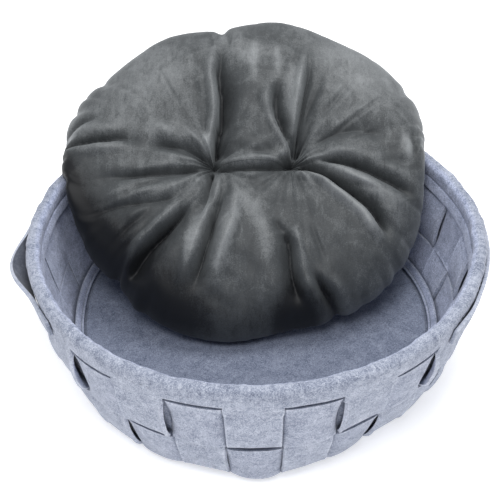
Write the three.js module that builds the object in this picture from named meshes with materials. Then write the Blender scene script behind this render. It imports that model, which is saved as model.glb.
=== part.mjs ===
// Round dog bed: a basket woven from thick felt strips, with two strap handles,
// and a loose round velvet cushion that leans in it with its back on the rim.
// Millimetres, +Z up. The origin is the middle of the underside, and the front faces -Y.

import * as THREE from 'three';
import { mergeVertices } from 'three/addons/utils/BufferGeometryUtils.js';

// Felt
const FELT = 4;
const SEAT_GAP = 0.45;

// Basket wall, measured on the middle line of its weave from the rim down
const RIM_LINE_RADIUS = 224.5;
const LEAN_AT_RIM = THREE.MathUtils.degToRad(6);
const LEAN_AT_BEND = THREE.MathUtils.degToRad(22);
const WALL_LENGTH = 140;
const BEND_RADIUS = 14;
const FOOT_WIDTH = 20;
const OUT_OF_ROUND = { size: 1.6, lobes: 2, phase: 0.6 };
const RIM_WAVE = { size: 1.2, lobes: 5, phase: 1 };

// Where the wall stands out or in round a direction: in degrees, and millimetres at the rim and the foot
const SWELLS = [
  { turn: 95, spread: 30, atRim: 3.5, atFoot: 0 },
  { turn: 4, spread: 17, atRim: 0, atFoot: 4 },
  { turn: 35, spread: 18, atRim: 0, atFoot: -10 },
  { turn: -122, spread: 22, atRim: 0, atFoot: 13 },
];

// Rim: the sheet's top edge is rolled inwards into a hem
const ROLL_RADIUS = 7;
const ROLL_OFFSET = -1.5;
const ROLL_DEGREES = [45, 90, 135];
const HEM = [
  { down: 0, outer: 5.5, inner: -8.5 },
  { down: 10, outer: 5.5, inner: -7.2 },
  { down: 22.6, outer: 5.3, inner: -5.6 },
  { down: 23.4, outer: 5.2, inner: 1.2 },
  { down: 24.2, outer: 4.6, inner: 0.6 },
];

// Weave: upright strips cut from the sheet, and two bands passed through them
const STRIP_COUNT = 26;
const FRONT_STRIP_TURN = THREE.MathUtils.degToRad(-1);
const STRIP_SHARES = [
  { from: 4, to: 8, share: 0.88 },
  { from: 9, to: 12, share: 1.15 },
];
const ROWS = [
  { top: 25, bottom: 82, innerBulge: 1.6 },
  { top: 82, bottom: 141, innerBulge: 0 },
];
const SLIT = 3;
const SLIT_RADIUS = 212;
const SLIT_END = 146;
const WEAVE_GAP = 0.6;
const EDGE_FLARE = 2.3;
const FLARE_POWER = 4;
const BULGE = { size: 2.8, spread: 0.9, stripStep: 2.4, rowStep: 1.7 };
const BAND_TOP_TUCK = 0.7;
const ACROSS = [-1, -0.4, 0.4, 1];
const DOWN = [-1, -0.4, 0.4, 1];

// Floor: a thick felt disc that lies over the wall's foot
const FLOOR_TOP = 28;
const FLOOR_SIDE_DEPTH = 140;
const FLOOR_TOP_DEPTH = 126;
const FLOOR_ON_FOOT = 18;
const FLOOR_SEGMENTS = 52;

// Floor edge: a felt strip that stands on the floor all round, against the wall
const EDGE_RADIUS = 182.5;
const EDGE_TOP_DEPTH = 117.5;
const EDGE_ROUND = 1.5;
const EDGE_TOE = { out: 4, up: 1.4 };

// Strap handles, one on each side
const STRAP_TOP = 6;
const STRAP_BOTTOM = 24.5;
const STRAP_STEPS = 22;

// Each strap's ends and the ends of its bow, in degrees from the front, and its bow in millimetres
const STRAPS = [
  { name: 'handle_left', side: -1, ends: [58, 104], bow: [65, 98], bowTop: 14, bowBottom: 1 },
  { name: 'handle_right', side: 1, ends: [52, 104], bow: [53, 76], bowTop: 2.4, bowBottom: 0.3 },
];

// Cushion: its frame has x to the right, y up the slope and z out of its upper face
const CUSHION_TILT = THREE.MathUtils.degToRad(32);
const CUSHION_PLACE = new THREE.Vector3(0, 110, 135.5);
const CROWN = 55;
const UNDERSIDE = 44;
const EDGE_POWER = 3;
const TUFT_SPACING = 41;
const TUFT_FAN = 5;
const TUFT_DEPTH = 31;
const TUFT_REACH = 42;
const UNDER_TUFT_DEPTH = 8;
const CUSHION_SPOKES = 90;
const CUSHION_RINGS = [0, 0.05, 0.11, 0.19, 0.28, 0.38, 0.49, 0.6, 0.7, 0.79, 0.87, 0.93, 0.97, 1];
const UNDER_RINGS = [0.97, 0.92, 0.86, 0.79, 0.71, 0.61, 0.48, 0.3, 0];
const RIM_CLEARANCE = 3;
const LIFT_SLOPE_INSIDE = 2.2;
const LIFT_SLOPE_OUTSIDE = 1.2;
const LIFT_EASE = 0.5;
const LIFT_SOFTNESS = 9;
const LIFT_SPREADS = [5, 3, 2, 1];
const LIFT_EDGE_POWER = 8;

// Cushion outline about the middle between the tufts, every 20 degrees from the right
const CUSHION_OUTLINE = [
  185, 197, 193, 185, 187, 179, 192, 196, 211, 205, 202, 190, 192, 187, 177, 185, 190, 188,
];

// Folds that run out from a short way off the tufts: directions in degrees, sizes in millimetres
const FOLD_START = 12;
const FOLDS = [
  { tuft: -1, turn: 92, reach: 150, depth: 12, width: 9 },
  { tuft: 1, turn: 118, reach: 110, depth: 7, width: 8 },
  { tuft: 1, turn: 76, reach: 120, depth: 8, width: 9 },
  { tuft: 1, turn: -12, reach: 140, depth: 8, width: 10 },
  { tuft: 1, turn: -38, reach: 140, depth: 8, width: 10 },
  { tuft: -1, turn: 172, reach: 130, depth: 6, width: 10 },
  { tuft: -1, turn: 232, reach: 150, depth: 8, width: 11 },
  { tuft: -1, turn: 262, reach: 140, depth: 6, width: 10 },
];

const feltMaterial = new THREE.MeshStandardMaterial({ color: 0xa4aab8, roughness: 0.95, metalness: 0 });
const velvetMaterial = new THREE.MeshStandardMaterial({ color: 0x5f6365, roughness: 0.7, metalness: 0 });

const SAME_POINT = 1e-4;

// A closed mesh from a list of triangles, with shared corners merged
function solidFrom(triangles) {
  const corners = triangles.flat();
  const geometry = new THREE.BufferGeometry().setFromPoints(corners);
  const merged = mergeVertices(geometry, SAME_POINT);
  merged.computeVertexNormals();
  return merged;
}

// Two triangles for a four-cornered face, leaving out a side that has no length
function addFace(triangles, a, b, c, d) {
  const same = (p, q) => p.distanceTo(q) < SAME_POINT;
  if (!same(a, b) && !same(b, c) && !same(a, c)) {
    triangles.push([a, b, c]);
  }
  if (!same(a, c) && !same(c, d) && !same(a, d)) {
    triangles.push([a, c, d]);
  }
}

// Faces between two neighbouring sections, point by point along both
function addStrip(triangles, here, next, closed) {
  const count = closed ? here.length : here.length - 1;
  for (let i = 0; i < count; i += 1) {
    const j = (i + 1) % here.length;
    addFace(triangles, here[i], here[j], next[j], next[i]);
  }
}

// Middle line of the wall at a distance down from the rim
function wallLine(down) {
  const slope = (LEAN_AT_BEND - LEAN_AT_RIM) / WALL_LENGTH;
  const upright = Math.min(down, WALL_LENGTH);
  const leanHere = LEAN_AT_RIM + slope * upright;
  const bent = Math.max(0, down - WALL_LENGTH);
  const lean = Math.min(leanHere + bent / BEND_RADIUS, Math.PI / 2);
  const flat = Math.max(0, bent - BEND_RADIUS * (Math.PI / 2 - LEAN_AT_BEND));
  const inwards = (Math.cos(LEAN_AT_RIM) - Math.cos(leanHere)) / slope
    + BEND_RADIUS * (Math.cos(leanHere) - Math.cos(lean)) + flat;
  const fall = (Math.sin(leanHere) - Math.sin(LEAN_AT_RIM)) / slope
    + BEND_RADIUS * (Math.sin(lean) - Math.sin(leanHere));
  return { radius: RIM_LINE_RADIUS - inwards, fall, lean };
}

const FOOT_START = WALL_LENGTH + BEND_RADIUS * (Math.PI / 2 - LEAN_AT_BEND);
const FOOT_END = FOOT_START + FOOT_WIDTH;
const RIM_HEIGHT = wallLine(FOOT_START).fall + FELT / 2;

const ripple = ({ size, lobes, phase }, turn) => size * Math.sin(lobes * turn + phase);
const atHeight = (down) => THREE.MathUtils.clamp(1 - down / WALL_LENGTH, 0, 1);

// How far the wall stands out from a true round in a direction, at a distance down from the rim
function standOff(turn, down) {
  const upper = atHeight(down);
  let total = upper * ripple(OUT_OF_ROUND, turn);
  for (const { turn: middle, spread, atRim, atFoot } of SWELLS) {
    const apart = turn - THREE.MathUtils.degToRad(middle);
    const aside = Math.atan2(Math.sin(apart), Math.cos(apart)) / THREE.MathUtils.degToRad(spread);
    total += THREE.MathUtils.lerp(atFoot, atRim, upper) * Math.exp(-(aside ** 2));
  }
  return total;
}

function roundPoint(turn, radius, height) {
  return new THREE.Vector3(radius * Math.sin(turn), -radius * Math.cos(turn), height);
}

// A point on the wall: turn from the front towards +X, distance down, and offset outwards
function onWall(turn, down, offset) {
  const line = wallLine(down);
  const radius = line.radius + standOff(turn, down) + offset * Math.cos(line.lean);
  const wave = atHeight(down) * ripple(RIM_WAVE, turn);
  return roundPoint(turn, radius, RIM_HEIGHT - line.fall + wave - offset * Math.sin(line.lean));
}

const SLIT_TURN = SLIT / SLIT_RADIUS;

// Turns of the slits: each strip lies between the slit with its own number and the next one
function makeSlitTurns() {
  const even = (2 * Math.PI) / STRIP_COUNT;
  const turns = [FRONT_STRIP_TURN - even / 2];
  for (let strip = 0; strip < STRIP_COUNT; strip += 1) {
    const uneven = STRIP_SHARES.find(({ from, to }) => strip >= from && strip <= to);
    turns.push(turns[strip] + even * (uneven?.share ?? 1));
  }
  return turns;
}

const slitTurns = makeSlitTurns();

// Turn at a share across a strip, from -1 to 1, with the same margin left off at both sides
function acrossStrip(strip, across, margin) {
  const left = slitTurns[strip] + margin;
  const right = slitTurns[strip + 1] - margin;
  return THREE.MathUtils.lerp(left, right, (across + 1) / 2);
}

// Distance down at a share of a row's height, from -1 at its top edge to 1 at its bottom edge
function rowDepth(row, share) {
  const middle = (ROWS[row].top + ROWS[row].bottom) / 2;
  const half = (ROWS[row].bottom - ROWS[row].top - SLIT) / 2;
  return middle + share * half;
}

// Offsets of a strip and a band where they cross. Each layer's edges flare by as much as
// the other layer dips there, so the two stay evenly apart, and the outer one also bulges,
// as do the upper row's strips on the inside.
function crossing(strip, row, across, down) {
  const side = (strip + row) % 2 === 0 ? 1 : -1;
  const layer = (FELT + WEAVE_GAP) / 2;
  const flare = (share) => EDGE_FLARE * share ** FLARE_POWER;
  const step = BULGE.stripStep * strip + BULGE.rowStep * row;
  const bulge = BULGE.size + BULGE.spread * Math.sin(step);
  const stripBulge = (side > 0 ? bulge : -ROWS[row].innerBulge) * (1 - down * down);
  const tuck = 1 - BAND_TOP_TUCK * Math.max(0, -down) ** FLARE_POWER;
  const bandBulge = side < 0 ? bulge * (1 - across * across) * tuck : 0;
  return {
    strip: side * (layer + flare(across) - flare(down)) + stripBulge,
    band: -side * (layer + flare(down) - flare(across)) + bandBulge,
  };
}

// One upright section of the wall's sheet: its outer and inner points from the rim to the foot
function wallSection(strip, across) {
  const whole = acrossStrip(strip, across, 0);
  const woven = acrossStrip(strip, across, SLIT_TURN / 2);
  const outer = [];
  const inner = [];
  for (const { down, outer: out, inner: into } of HEM) {
    outer.push(onWall(whole, down, out));
    inner.push(onWall(whole, down, into));
  }
  const slitStart = outer.length - 1;
  for (let row = 0; row < ROWS.length; row += 1) {
    for (const share of DOWN) {
      const offset = crossing(strip, row, across, share).strip;
      outer.push(onWall(woven, rowDepth(row, share), offset + FELT / 2));
      inner.push(onWall(woven, rowDepth(row, share), offset - FELT / 2));
    }
  }
  const slitEnd = outer.length;
  for (const down of [SLIT_END, (SLIT_END + FOOT_START) / 2, FOOT_START, FOOT_END]) {
    outer.push(onWall(whole, down, FELT / 2));
    inner.push(onWall(whole, down, -FELT / 2));
  }
  const crest = ROLL_DEGREES.map((degrees) => {
    const angle = THREE.MathUtils.degToRad(degrees);
    const offset = ROLL_OFFSET - ROLL_RADIUS * Math.cos(angle);
    return onWall(whole, -ROLL_RADIUS * Math.sin(angle), offset);
  });
  return { outer, inner, loop: [...outer, ...[...inner].reverse(), ...crest], slitStart, slitEnd };
}

// The two cut edges of a slit, each joining the sheet's outer and inner faces
function addSlitEdges(triangles, right, left) {
  for (let i = right.slitStart; i < right.slitEnd; i += 1) {
    addFace(triangles, right.outer[i], right.outer[i + 1], right.inner[i + 1], right.inner[i]);
    addFace(triangles, left.inner[i], left.inner[i + 1], left.outer[i + 1], left.outer[i]);
  }
}

function makeWall() {
  const triangles = [];
  for (let strip = 0; strip < STRIP_COUNT; strip += 1) {
    const sections = ACROSS.map((across) => wallSection(strip, across));
    for (let i = 0; i + 1 < sections.length; i += 1) {
      addStrip(triangles, sections[i].loop, sections[i + 1].loop, true);
    }
    const neighbour = wallSection((strip + 1) % STRIP_COUNT, ACROSS[0]);
    addSlitEdges(triangles, sections[sections.length - 1], neighbour);
  }
  return solidFrom(triangles);
}

function makeBand(row) {
  const sections = [];
  for (let strip = 0; strip < STRIP_COUNT; strip += 1) {
    for (const across of ACROSS) {
      const turn = acrossStrip(strip, across, SLIT_TURN / 2);
      const points = (face) => DOWN.map((share) => {
        const offset = crossing(strip, row, across, share).band;
        return onWall(turn, rowDepth(row, share), offset + (face * FELT) / 2);
      });
      sections.push([...points(1), ...points(-1).reverse()]);
    }
  }
  const triangles = [];
  sections.forEach((section, i) => {
    addStrip(triangles, section, sections[(i + 1) % sections.length], true);
  });
  return solidFrom(triangles);
}

// A point of a section beside the wall: distance down, and offset outwards
function besideWall(down, offset) {
  const line = wallLine(down);
  const radius = line.radius + offset * Math.cos(line.lean);
  return { radius, height: RIM_HEIGHT - line.fall - offset * Math.sin(line.lean), down };
}

const onFloor = (radius, height) => ({ radius, height, down: FLOOR_TOP_DEPTH });
const byFoot = (radius, height) => ({ radius, height, down: FOOT_START });

// A disc or ring that follows the wall round, from the points of its section from the top outwards
function turned(section, closed) {
  const sections = [];
  for (let i = 0; i < FLOOR_SEGMENTS; i += 1) {
    const turn = (2 * Math.PI * i) / FLOOR_SEGMENTS;
    sections.push(section.map(({ radius, height, down }) => {
      const reach = radius > 0 ? radius + standOff(turn, down) : 0;
      return roundPoint(turn, reach, height);
    }));
  }
  const triangles = [];
  sections.forEach((here, i) => {
    addStrip(triangles, here, sections[(i + 1) % sections.length], closed);
  });
  return solidFrom(triangles);
}

const WEAVE_REACH = -((FELT + WEAVE_GAP) / 2 + EDGE_FLARE + FELT / 2 + SEAT_GAP);

// The floor lies on the ground inside the wall's foot and steps up over it to the weave
function makeFloor() {
  const foot = wallLine(FOOT_END).radius - SEAT_GAP;
  const onFoot = FELT + SEAT_GAP;
  const shoulder = besideWall(FLOOR_TOP_DEPTH, WEAVE_REACH);
  return turned([
    onFloor(0, FLOOR_TOP),
    onFloor(shoulder.radius - FELT, FLOOR_TOP),
    shoulder,
    besideWall(FLOOR_SIDE_DEPTH, WEAVE_REACH),
    byFoot(foot + FLOOR_ON_FOOT, onFoot),
    byFoot(foot, onFoot),
    byFoot(foot, 0),
    byFoot(0, 0),
  ], false);
}

// The strip's toe lies on the floor, and its side leans on the weave
function makeFloorEdge() {
  const seat = FLOOR_TOP + SEAT_GAP;
  return turned([
    onFloor(EDGE_RADIUS, seat),
    onFloor(EDGE_RADIUS + EDGE_TOE.out, seat + EDGE_TOE.up),
    besideWall(EDGE_TOP_DEPTH, WEAVE_REACH - FELT),
    besideWall(EDGE_TOP_DEPTH - EDGE_ROUND, WEAVE_REACH - FELT / 2),
    besideWall(EDGE_TOP_DEPTH, WEAVE_REACH),
    onFloor(besideWall(FLOOR_TOP_DEPTH, WEAVE_REACH).radius - FELT, seat),
  ], true);
}

// A felt strap whose ends lie on the hem and whose middle bows away from the wall,
// most at its upper edge
function makeStrap({ side, ends, bow, bowTop, bowBottom }) {
  const seat = HEM[0].outer + SEAT_GAP;
  const sections = [];
  for (let step = 0; step <= STRAP_STEPS; step += 1) {
    const degrees = THREE.MathUtils.lerp(ends[0], ends[1], step / STRAP_STEPS);
    const turn = THREE.MathUtils.degToRad(degrees);
    const free = THREE.MathUtils.inverseLerp(bow[0], bow[1], degrees);
    const share = Math.sin(Math.PI * THREE.MathUtils.clamp(free, 0, 1)) ** 2;
    const top = seat + bowTop * share;
    const bottom = seat + bowBottom * share;
    sections.push([
      onWall(side * turn, STRAP_TOP, top + FELT),
      onWall(side * turn, STRAP_BOTTOM, bottom + FELT),
      onWall(side * turn, STRAP_BOTTOM, bottom),
      onWall(side * turn, STRAP_TOP, top),
    ]);
  }
  if (side < 0) {
    sections.reverse();
  }
  const triangles = [];
  for (let i = 0; i + 1 < sections.length; i += 1) {
    addStrip(triangles, sections[i], sections[i + 1], true);
  }
  const first = sections[0];
  const last = sections[sections.length - 1];
  addFace(triangles, first[3], first[2], first[1], first[0]);
  addFace(triangles, last[0], last[1], last[2], last[3]);
  return solidFrom(triangles);
}

const cushionMatrix = new THREE.Matrix4()
  .makeRotationX(CUSHION_TILT)
  .setPosition(CUSHION_PLACE);
const cushionOutline = new THREE.CatmullRomCurve3(
  CUSHION_OUTLINE.map((radius, i) => {
    const angle = (2 * Math.PI * i) / CUSHION_OUTLINE.length;
    return new THREE.Vector3(radius * Math.cos(angle), radius * Math.sin(angle), 0);
  }),
  true,
);

// Depth of the two tufts at a point of the cushion's plan
function tuftDip(x, y, depth) {
  const left = Math.hypot(x + TUFT_SPACING, y);
  const right = Math.hypot(x - TUFT_SPACING, y);
  return depth * Math.max(Math.exp(-left / TUFT_REACH), Math.exp(-right / TUFT_REACH));
}

// Depth of the folds that run out from the tufts, deepest a quarter of the way along
function foldDip(x, y) {
  let dip = 0;
  for (const { tuft, turn, reach, depth, width } of FOLDS) {
    const angle = THREE.MathUtils.degToRad(turn);
    const fromX = x - tuft * TUFT_SPACING;
    const along = fromX * Math.cos(angle) + y * Math.sin(angle);
    const aside = -fromX * Math.sin(angle) + y * Math.cos(angle);
    if (along > FOLD_START && along < reach) {
      const fade = Math.sin(Math.PI * Math.sqrt((along - FOLD_START) / (reach - FOLD_START)));
      dip += depth * fade * Math.exp(-((aside / width) ** 2));
    }
  }
  return dip;
}

// How far the underside is lifted where it lies over the rim
function rimLift(point) {
  const radius = Math.hypot(point.x, point.y);
  const turn = Math.atan2(point.x, -point.y);
  const middle = RIM_LINE_RADIUS + ROLL_OFFSET + standOff(turn, 0);
  const past = Math.max(0, Math.abs(radius - middle) - ROLL_RADIUS - RIM_CLEARANCE);
  const slope = radius < middle ? LIFT_SLOPE_INSIDE : LIFT_SLOPE_OUTSIDE;
  const top = RIM_HEIGHT + ROLL_RADIUS + RIM_WAVE.size + RIM_CLEARANCE - past * slope;
  const short = top - point.z;
  return (short + Math.hypot(short, LIFT_SOFTNESS)) / 2;
}

// A place in the cushion's plan: spoke angle, share of the way to the edge, and how full it is there
function planPoint(angle, share) {
  const edge = cushionOutline.getPoint(angle / (2 * Math.PI));
  const start = TUFT_SPACING * THREE.MathUtils.clamp(TUFT_FAN * Math.cos(angle), -1, 1);
  const x = THREE.MathUtils.lerp(start, edge.x, share);
  const y = THREE.MathUtils.lerp(0, edge.y, share);
  return { x, y, swell: Math.sqrt(Math.max(0, 1 - share ** EDGE_POWER)) };
}

const inPlace = (x, y, height) => new THREE.Vector3(x, y, height).applyMatrix4(cushionMatrix);

// The underside at a place, and how far the rim lifts it
function underPoint(angle, share) {
  const { x, y, swell } = planPoint(angle, share);
  const point = inPlace(x, y, -UNDERSIDE * swell + tuftDip(x, y, UNDER_TUFT_DEPTH));
  const lift = rimLift(point);
  point.z += lift;
  return { point, lift };
}

// Evens out values on rings of spokes, over ever smaller steps round the rings
function evened(rings) {
  const middle = rings[0];
  let outward = rings.slice(1);
  for (const step of LIFT_SPREADS) {
    const before = outward;
    outward = before.map((ring, i) => ring.map((value, j) => {
      const inner = (before[i - 1] ?? middle)[j];
      const outer = (before[i + 1] ?? ring)[j];
      const left = ring[(j + ring.length - step) % ring.length];
      const right = ring[(j + step) % ring.length];
      const around = [value, inner, outer, left, right];
      return around.reduce((sum, one) => sum + one) / around.length;
    }));
  }
  return [middle, ...outward];
}

// The upper face follows the underside's lift softly, and meets it at the edge
function overPoint(angle, share, lift, softLift) {
  const { x, y, swell } = planPoint(angle, share);
  const height = CROWN * swell - tuftDip(x, y, TUFT_DEPTH) - foldDip(x, y) * swell;
  const point = inPlace(x, y, height);
  point.z += THREE.MathUtils.lerp(softLift, lift, share ** LIFT_EDGE_POWER) * (1 - LIFT_EASE * swell);
  return point;
}

function makeCushion() {
  const angles = Array.from({ length: CUSHION_SPOKES }, (_, i) => (2 * Math.PI * i) / CUSHION_SPOKES);
  const lifts = CUSHION_RINGS.map((share) => angles.map((angle) => underPoint(angle, share).lift));
  const softLifts = evened(lifts);
  const spokes = angles.map((angle, j) => {
    const upper = CUSHION_RINGS.map((share, i) => overPoint(angle, share, lifts[i][j], softLifts[i][j]));
    const lower = UNDER_RINGS.map((share) => underPoint(angle, share).point);
    return [...upper, ...lower];
  });
  const triangles = [];
  spokes.forEach((spoke, i) => {
    addStrip(triangles, spoke, spokes[(i + 1) % spokes.length], false);
  });
  return solidFrom(triangles);
}

function piece(name, geometry, material) {
  const mesh = new THREE.Mesh(geometry, material);
  mesh.name = name;
  return mesh;
}

const bed = new THREE.Group();
bed.add(piece('wall', makeWall(), feltMaterial));
bed.add(piece('band_upper', makeBand(0), feltMaterial));
bed.add(piece('band_lower', makeBand(1), feltMaterial));
bed.add(piece('floor', makeFloor(), feltMaterial));
bed.add(piece('floor_edge', makeFloorEdge(), feltMaterial));
for (const strap of STRAPS) {
  bed.add(piece(strap.name, makeStrap(strap), feltMaterial));
}
bed.add(piece('cushion', makeCushion(), velvetMaterial));

export default bed;
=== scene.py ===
"""Round dog bed: the looks of the woven felt basket and of the tufted velvet cushion in it."""

import math

import bmesh
import bpy
import numpy as np
from mathutils import Matrix, Vector


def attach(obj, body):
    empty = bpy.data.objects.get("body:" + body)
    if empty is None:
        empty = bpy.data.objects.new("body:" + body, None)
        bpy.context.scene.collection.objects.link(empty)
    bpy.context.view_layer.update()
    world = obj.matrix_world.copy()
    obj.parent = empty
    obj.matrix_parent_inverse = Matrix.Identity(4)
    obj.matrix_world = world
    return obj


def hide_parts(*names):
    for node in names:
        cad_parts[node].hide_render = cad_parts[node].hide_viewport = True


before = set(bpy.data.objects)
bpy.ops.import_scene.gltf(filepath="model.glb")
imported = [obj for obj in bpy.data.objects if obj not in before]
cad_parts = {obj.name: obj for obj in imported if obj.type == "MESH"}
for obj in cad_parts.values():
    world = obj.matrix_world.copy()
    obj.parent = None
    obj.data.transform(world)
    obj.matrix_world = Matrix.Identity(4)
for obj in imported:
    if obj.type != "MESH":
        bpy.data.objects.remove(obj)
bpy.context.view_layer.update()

MM = 0.001
TAU = 2 * math.pi
rad = math.radians

# Basket sizes in millimetres, most of them those of the solids
FELT = 4.0
RIM_LINE_RADIUS = 224.5
LEAN_AT_RIM = rad(6)
LEAN_AT_BEND = rad(22)
WALL_LENGTH = 140.0
BEND_RADIUS = 14.0
FOOT_WIDTH = 20.0
FOOT_START = WALL_LENGTH + BEND_RADIUS * (math.pi / 2 - LEAN_AT_BEND)
FOOT_END = FOOT_START + FOOT_WIDTH
# Waves round the basket: size, how many, and phase
OUT_OF_ROUND = (1.6, 2, 0.6)
RIM_WAVE = (1.2, 5, 1.0)
# Where the wall stands out or in: middle and spread in degrees, and how far at the rim and the foot
SWELLS = ((95, 30, 3.5, 0), (4, 17, 0, 4), (35, 18, 0, -10), (-122, 22, 0, 13))

# The hem's section: distance down from the rim and offset outwards, inside and outside of its roll.
# It ends plain at the slits, or set in over a raised block
ROLL_OFFSET, ROLL_RADIUS, ROLL_STEP = -1.5, 5.0, 15
HEM_INSIDE = (
    (23.6, -5.7), (21.5, -5.9), (18, -5.6), (15, -5.3), (12.6, -5.2),
    (11.2, -4.4), (9.8, -5.2), (7, -5.8), (3, -6.3),
)
HEM_OUTSIDE = ((3, 3.5), (7, 3.5), (10, 3.45), (12.5, 3.4))
HEM_PLAIN = ((14.4, 3.4), (15.3, 3.4), (16, 3.35), (17, 3.3), (20, 3.2), (22.4, 3.0), (23.6, 2.7))
HEM_SET_IN = (
    (14.4, 3.4), (15.3, 2.6), (15.9, 1.2), (16.9, -0.2), (20, -0.4), (22.4, -0.5), (23.6, -0.7),
)
# Puckers and waves of the hem's top: size, and length, seed and count for ripples, and where they set in
PUCKER, PUCKER_STRETCH, PUCKER_WAVES = 0.5, 0.25, (13, 9, 22)
HEM_WAVE, HEM_WAVES = 0.5, (70, 12)
HEM_TOP_START, HEM_TOP_RANGE = 12, 14

# Strips between the slits. Some are cut narrower or wider: first, last, and share of an even width
STRIP_COUNT = 26
FRONT_STRIP_TURN = rad(-1)
STRIP_SHARES = ((4, 8, 0.88), (9, 12, 1.15))
# Depths of the two rows of blocks, and of the slits' lower end
ROWS = ((25.0, 82.0), (82.0, 141.0))
ROW_GAP = 1.0
SLIT_END = 146.0
FOOT_ROWS = (SLIT_END, 149, 152, 155, FOOT_START, FOOT_START + 6, FOOT_START + 13, FOOT_END)
# Width of a slit, how it varies, and the width to the right of strips near the front
SLIT = 3.0
SLIT_RADIUS = 212.0
SLIT_SPREAD, SLIT_CYCLE = 0.9, 3.1
OPEN_SLITS = {-4: 4.6, -3: 3.6, -2: 4.0, -1: 1.4, 0: 1.4, 1: 5.0, 2: 3.6, 3: 5.0}
# How far an outer strip is drawn in at mid block, and up to which strip from the front
EDGE_DRAW, DRAWN_STRIPS = 0.8, 5
# The weave's layers: the gap between them, how far their edges flare, and how far they bulge
WEAVE_GAP = 0.6
LAYER = (FELT + WEAVE_GAP) / 2
EDGE_FLARE, FLARE_POWER = 1.3, 4
BULGE, BULGE_SPREAD, BULGE_CYCLE = 2.8, 0.9, (2.4, 1.7)
# How much less a strip bulges at its sides, and how steeply the bulge ends at its bottom and its top
STRIP_SIDE_LOSS = 0.5
BULGE_POWERS = (6, 2)
# How much less a band bulges at its top edge and its bottom edge, the front block's bottom apart
BAND_TUCKS = (0.95, 0.6)
# Upper-row blocks by the front whose band reaches up under the hem, and by how much
RAISED_STRIPS = (1, 3)
TOP_RISE, SHIFT_POWER = 6.7, 4
# How far the front block of the lower row keeps from the strip above it
FRONT_DROP = 2.0
# How far a strip's edges curl out beside the front, and the left and right edges of some
CURL, CURL_POWER = 2.0, 10
CURLS = {-4: (2.0, 5.0), -2: (2.0, 3.6), 2: (1.6, 2.0), 4: (5.0, 2.0)}
# How far the upper band dips at the left and right edges of blocks beside open slits
DIP_POWER = 6
SLIT_DIPS = {
    -4: (0, 6), -3: (6, 0), -2: (0, 5), -1: (5, 0), 1: (0, 6), 2: (6, 0), 3: (0, 7), 4: (7, 0),
}
# Strips that lie flatter than the rest, and by how much
FLAT_STRIPS = (16, 21)
FLAT_SHARE = 0.15
# How far each row's strips bulge on the inside
INNER_BULGES = (3.0, 0.6)
# Unevenness that the felt layers share: size, the fine part's share, wave lengths and seed
FELT_UNEVEN, FINE_SHARE = 0.35, 0.4
BROAD_WAVE, FINE_WAVE = 55, 19
FELT_SEED = 5
# Where the wall's unevenness sets in above the ground
CALM_START, CALM_RANGE = 8, 20
# Rounding of cut felt edges
CUT_ROUNDING, CUT_ANGLE = 0.7, rad(55)

# Floor and its edge strip, both clear of the weave by a gap and the room for flared edges
SEAT_GAP = 0.45
EDGE_ROOM = 2.3
WEAVE_REACH = -(LAYER + EDGE_ROOM + FELT / 2 + SEAT_GAP)
MIDDLE = 0.01
FLOOR_TOP = 28.0
FLOOR_TOP_DEPTH = 126.0
FLOOR_SIDE_DEPTH = 140.0
FLOOR_ON_FOOT = 18.0
FOOT_BEVEL = (1, 0.8)
UNDER_RADII = (MIDDLE, 60, 120)
FLOOR_STEPS, FLOOR_RINGS, FLOOR_FIRST_RING = 180, 34, 8
FLOOR_UNEVEN, FLOOR_CALM_RINGS = 0.5, 4
RING_WAVE, RING_SEED = 60, 31
# Groove in the floor beside the edge strip: how far outside the strip's inner radius, and depth
FLOOR_GROOVE = ((0.8, 0), (0.2, 1.6), (-1.0, 2.0), (-2.0, 1.2), (-3.2, 0))
EDGE_RADIUS = 182.5
EDGE_TOP_DEPTH = 117.5
EDGE_STEPS = 220
# The edge strip's section below its top: outer face, rounded top, inner face with its bulge, and toe
EDGE_OUTER = (7.4, 4, 1)
EDGE_ROUNDING, EDGE_ROUND_TURNS = 2.2, (30, 60, 90, 120, 150)
EDGE_INNER = ((1, 0), (4, 0.5), (7.5, 0.9), (10.5, 1.0))
EDGE_TOE = ((3.2, 2.0), (1.0, 0.7), (0, 0))

# Straps: side, ends and ends of the bow in degrees, and the bow at the top and the bottom
STRAPS = (
    ("handle_left", -1, (58, 104), (65, 98), (14.0, 0.0)),
    ("handle_right", 1, (52, 104), (54, 68), (1.1, 0.0)),
)
STRAP_TOP, STRAP_BOTTOM = 6.0, 24.5
STRAP_SEAT, STRAP_LEAN = 5.7, 0.7
STRAP_COLUMNS, STRAP_ROWS, STRAP_CUT = 70, 12, 0.45

# Stitches: sizes, place on the hem, and sections as shares of the half length and of the radius
STITCH_COUNT, STITCH_LENGTH, STITCH_RADIUS, STITCH_SIDES = 188, 4.6, 0.42, 6
STITCH_DOWN, STITCH_OFFSET, STITCH_SINK = 5.2, 5.45, 0.5
STITCH_LINE_RADIUS = RIM_LINE_RADIUS + 5
STITCH_SECTIONS = ((-1, 0.3), (-0.75, 0.85), (0, 1), (0.75, 0.85), (1, 0.3))


# Smooth unevenness: a sum of waves in set directions, about -1 to 1
def ripples(points, length, seed, count=14):
    draw = np.random.default_rng(seed)
    way = draw.normal(size=(count, points.shape[-1]))
    way /= np.linalg.norm(way, axis=1, keepdims=True)
    size = draw.uniform(0.6, 1.6, count)
    phase = draw.uniform(0, TAU, count)
    total = np.zeros(points.shape[:-1])
    for i in range(count):
        total += np.sin(points @ way[i] * TAU * size[i] / length + phase[i])
    return total / math.sqrt(count)


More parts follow.
